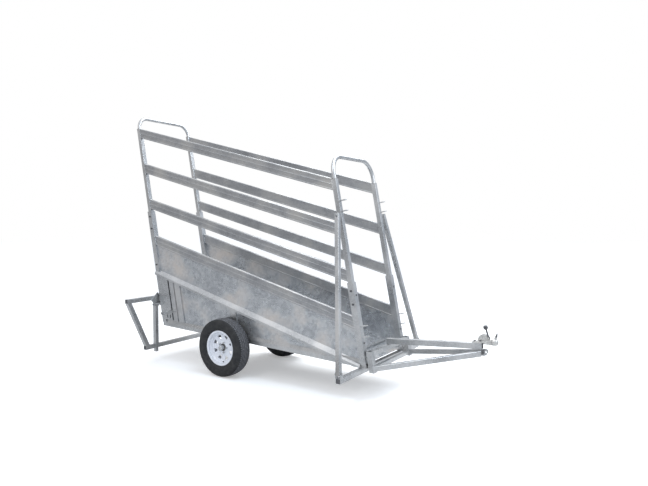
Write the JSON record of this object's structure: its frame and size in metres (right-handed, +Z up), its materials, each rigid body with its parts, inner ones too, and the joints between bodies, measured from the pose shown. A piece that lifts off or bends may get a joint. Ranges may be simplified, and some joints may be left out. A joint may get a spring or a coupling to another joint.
{
  "type": "portable cattle loading ramp",
  "caption": "Single-axle portable livestock loading ramp with sloping railed race, sheeted lower sides, outrigger braces, rear stand and towing drawbar.",
  "frame": {"origin": "ground level, centre of the bounding box", "axes": "+X forward to the towing coupling, +Y left, +Z up"},
  "size_m": [4.5012, 1.78, 3.0773],
  "materials": {
    "galvanised_tube": "hot-dip galvanised, satin with spangle",
    "galvanised_sheet": "galvanised sheet, bright spangle",
    "galvanised_rail": "galvanised roll-formed rail, duller",
    "tyre_rubber": "black rubber, light dust",
    "white_rim": "white gloss paint",
    "hub_steel": "plated steel cap and nuts",
    "plated_coupling": "zinc-plated casting",
    "zinc_bolt": "dark zinc fasteners",
    "axle_paint": "black paint"
  },
  "bodies": {
    "ramp_body": {"axle_beam": "axle_paint", "axle_mounts": "galvanised_tube", "bottom_rails": "galvanised_tube", "brace_clevises": "galvanised_tube", "deck_bearers": "galvanised_tube", "deck_cleats": "galvanised_tube", "deck_flanges": "galvanised_tube", "deck_plate": "galvanised_sheet", "drawbar_knuckles": "galvanised_tube", "front_sleeves": "galvanised_tube", "lower_panel_lugs": "galvanised_tube", "outrigger_tube": "galvanised_tube", "post_bolts": "zinc_bolt", "rear_sill": "galvanised_tube", "rear_sleeves": "galvanised_tube", "sheet_rails": "galvanised_rail", "side_pegs": "galvanised_tube", "side_sheet_left": "galvanised_sheet", "side_sheet_right": "galvanised_sheet", "skirt_sheet_left": "galvanised_sheet", "skirt_sheet_right": "galvanised_sheet", "skirt_stiffeners": "galvanised_tube", "slotted_plates": "galvanised_tube", "stand_hinge_lugs": "galvanised_tube", "stand_pins": "zinc_bolt"},
    "upper_cage": {"top_rails": "galvanised_rail", "middle_rails": "galvanised_rail", "low_rails": "galvanised_rail", "front_posts": "galvanised_tube", "rear_posts": "galvanised_tube", "front_hoop": "galvanised_tube", "rear_hoop": "galvanised_tube", "upper_panel_lugs": "galvanised_tube"},
    "wheel_left": {"tyre_left": "tyre_rubber", "rim_left": "white_rim", "hub_left": "hub_steel"},
    "wheel_right": {"tyre_right": "tyre_rubber", "rim_right": "white_rim", "hub_right": "hub_steel"},
    "rear_stand": {"stand_barrels": "galvanised_tube", "stand_gussets": "galvanised_tube", "stand_top_tube": "galvanised_tube", "stand_bottom_tube": "galvanised_tube", "stand_legs": "galvanised_tube", "stand_slants": "galvanised_tube"},
    "stand_foot_left": {"stand_foot_left": "galvanised_tube"},
    "stand_foot_right": {"stand_foot_right": "galvanised_tube"},
    "brace_left": {"brace_left": "galvanised_tube"},
    "brace_right": {"brace_right": "galvanised_tube"},
    "drawbar": {"head_channels": "galvanised_tube", "head_bars": "galvanised_tube", "centre_arm": "galvanised_tube", "side_arms": "galvanised_tube", "arm_bracket": "galvanised_tube", "coupling_body": "plated_coupling", "coupling_bolts": "zinc_bolt", "brake_sector": "plated_coupling"},
    "brake_lever": {"brake_lever": "plated_coupling"},
    "release_handle": {"release_handle": "plated_coupling"}
  },
  "joints": [
    {"name": "upper_cage_raise", "type": "slide", "parent": "ramp_body", "child": "upper_cage", "axis": [-0.1884, 0, 0.9821], "range_m": [0, 0.3]},
    {"name": "wheel_left_spin", "type": "hinge", "parent": "ramp_body", "child": "wheel_left", "pos_m": [-0.6438, 0.54, 0.325], "axis": [0, 1, 0], "continuous": true},
    {"name": "wheel_right_spin", "type": "hinge", "parent": "ramp_body", "child": "wheel_right", "pos_m": [-0.6438, -0.54, 0.325], "axis": [0, 1, 0], "continuous": true},
    {"name": "rear_stand_swing", "type": "hinge", "parent": "ramp_body", "child": "rear_stand", "pos_m": [-1.8388, 0, 0.7], "axis": [0, 1, 0], "range_deg": [-15, 4]},
    {"name": "stand_foot_left_drop", "type": "slide", "parent": "rear_stand", "child": "stand_foot_left", "axis": [0, 0, -1], "range_m": [0, 0.25]},
    {"name": "stand_foot_right_drop", "type": "slide", "parent": "rear_stand", "child": "stand_foot_right", "axis": [0, 0, -1], "range_m": [0, 0.25]},
    {"name": "brace_left_swing", "type": "hinge", "parent": "ramp_body", "child": "brace_left", "pos_m": [1.0662, 0.86, 0.361], "axis": [0.9854, 0, 0.1702], "range_deg": [-60, 0]},
    {"name": "brace_right_swing", "type": "hinge", "parent": "ramp_body", "child": "brace_right", "pos_m": [1.0662, -0.86, 0.361], "axis": [0.9854, 0, 0.1702], "range_deg": [0, 60]},
    {"name": "drawbar_fold", "type": "hinge", "parent": "ramp_body", "child": "drawbar", "pos_m": [1.13049, 0, 0.34], "axis": [0, 1, 0], "range_deg": [0, 25]},
    {"name": "brake_lever_pull", "type": "hinge", "parent": "drawbar", "child": "brake_lever", "pos_m": [2.1622, -0.01, 0.664], "axis": [0, 1, 0], "range_deg": [-35, 20]},
    {"name": "release_handle_lift", "type": "hinge", "parent": "drawbar", "child": "release_handle", "pos_m": [2.2222, 0, 0.673], "axis": [0, 1, 0], "range_deg": [-35, 0]}
  ]
}
